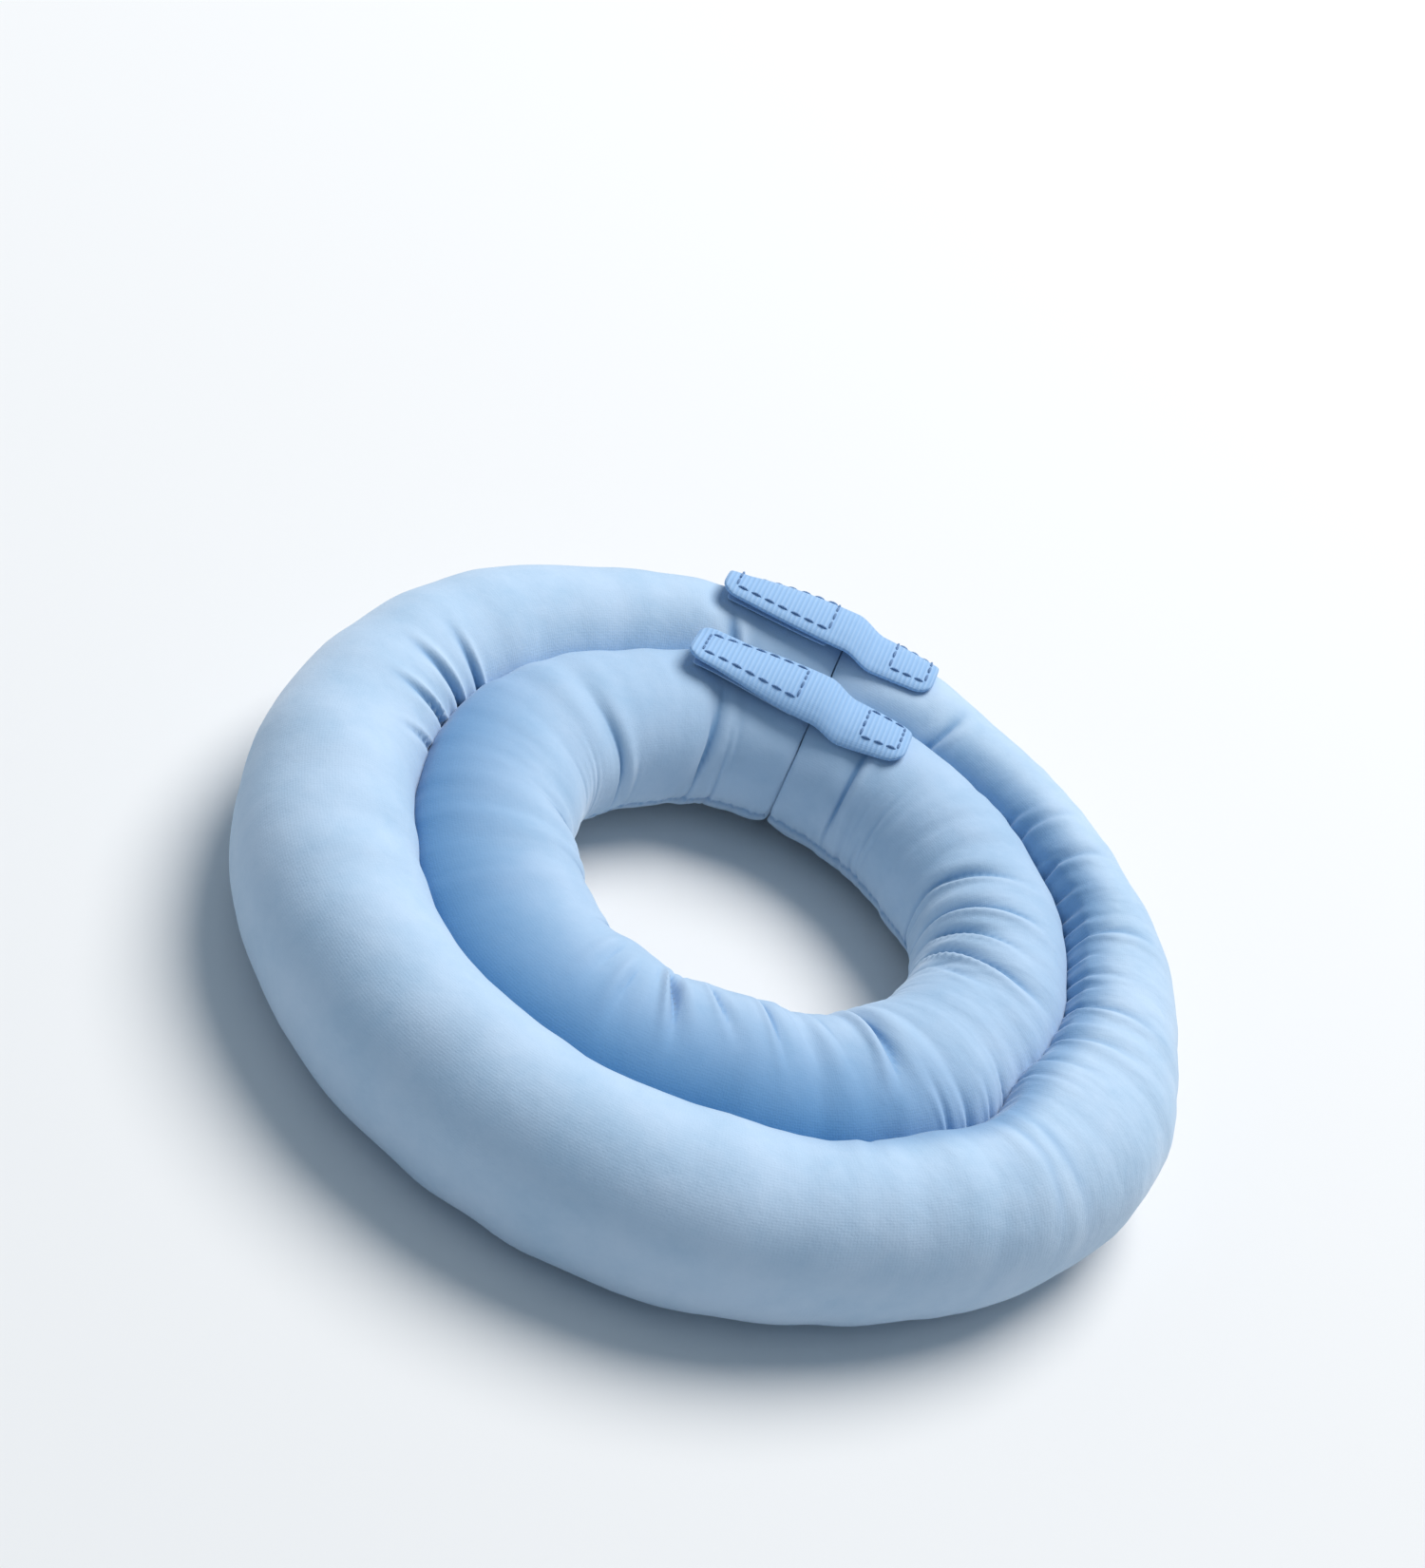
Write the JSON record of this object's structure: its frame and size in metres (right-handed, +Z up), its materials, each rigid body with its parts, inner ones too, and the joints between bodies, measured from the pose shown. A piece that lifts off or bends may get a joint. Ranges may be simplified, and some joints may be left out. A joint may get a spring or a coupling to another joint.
{
  "type": "elizabethan collar",
  "caption": "Soft stuffed recovery collar for a kitten or small cat: two padded rings round a neck opening, split at the nape and closed by hook-and-loop straps.",
  "frame": {"origin": "on the resting surface, under the middle of the collar's outline", "axes": "+Z up through the collar's face, +Y towards the slit at the nape, -Y towards the chest"},
  "size_m": [0.16, 0.16, 0.0307],
  "materials": {
    "cover": "matte",
    "stuffing": "matte",
    "thread": "satin",
    "strap": "matte",
    "hook_tape": "matte",
    "loop_tape": "matte",
    "label": "satin"
  },
  "bodies": {
    "chest": {"chest_face_cover": "cover", "chest_face_stitches": "thread", "chest_back_cover": "cover", "chest_back_stitches": "thread", "chest_outer_stuffing": "stuffing", "chest_inner_stuffing": "stuffing", "right_side_face_cover": "cover", "right_side_face_stitches": "thread", "right_side_back_cover": "cover", "right_side_back_stitches": "thread", "right_side_outer_stuffing": "stuffing", "right_side_inner_stuffing": "stuffing", "left_side_face_cover": "cover", "left_side_face_stitches": "thread", "left_side_back_cover": "cover", "left_side_back_stitches": "thread", "left_side_outer_stuffing": "stuffing", "left_side_inner_stuffing": "stuffing", "care_label": "label"},
    "left_arm": {"left_arm_face_cover": "cover", "left_arm_face_stitches": "thread", "left_arm_back_cover": "cover", "left_arm_back_stitches": "thread", "left_arm_outer_stuffing": "stuffing", "left_arm_inner_stuffing": "stuffing", "left_end_panel": "cover", "outer_loop_patch": "loop_tape", "inner_loop_patch": "loop_tape"},
    "right_arm": {"right_arm_face_cover": "cover", "right_arm_face_stitches": "thread", "right_arm_back_cover": "cover", "right_arm_back_stitches": "thread", "right_arm_outer_stuffing": "stuffing", "right_arm_inner_stuffing": "stuffing", "right_end_panel": "cover", "outer_strap_anchor": "strap", "inner_strap_anchor": "strap"},
    "outer_strap": {"outer_strap": "strap", "outer_hook_patch": "hook_tape"},
    "inner_strap": {"inner_strap": "strap", "inner_hook_patch": "hook_tape"}
  },
  "joints": [
    {"name": "left_arm_bend", "type": "hinge", "parent": "chest", "child": "left_arm", "pos_m": [-0.0555, 0, 0.014], "axis": [0, 0, 1], "range_deg": [0, 40], "deforming": ["left_side_face_cover", "left_side_face_stitches", "left_side_back_cover", "left_side_back_stitches", "left_side_outer_stuffing", "left_side_inner_stuffing"]},
    {"name": "right_arm_bend", "type": "hinge", "parent": "chest", "child": "right_arm", "pos_m": [0.0555, 0, 0.014], "axis": [0, 0, -1], "range_deg": [0, 40], "deforming": ["right_side_face_cover", "right_side_face_stitches", "right_side_back_cover", "right_side_back_stitches", "right_side_outer_stuffing", "right_side_inner_stuffing"]},
    {"name": "outer_strap_lift", "type": "hinge", "parent": "right_arm", "child": "outer_strap", "pos_m": [0.006, 0.06987, 0.02885], "axis": [0, 1, 0], "range_deg": [0, 150]},
    {"name": "inner_strap_lift", "type": "hinge", "parent": "right_arm", "child": "inner_strap", "pos_m": [0.006, 0.04608, 0.02885], "axis": [0, 1, 0], "range_deg": [0, 150]}
  ]
}
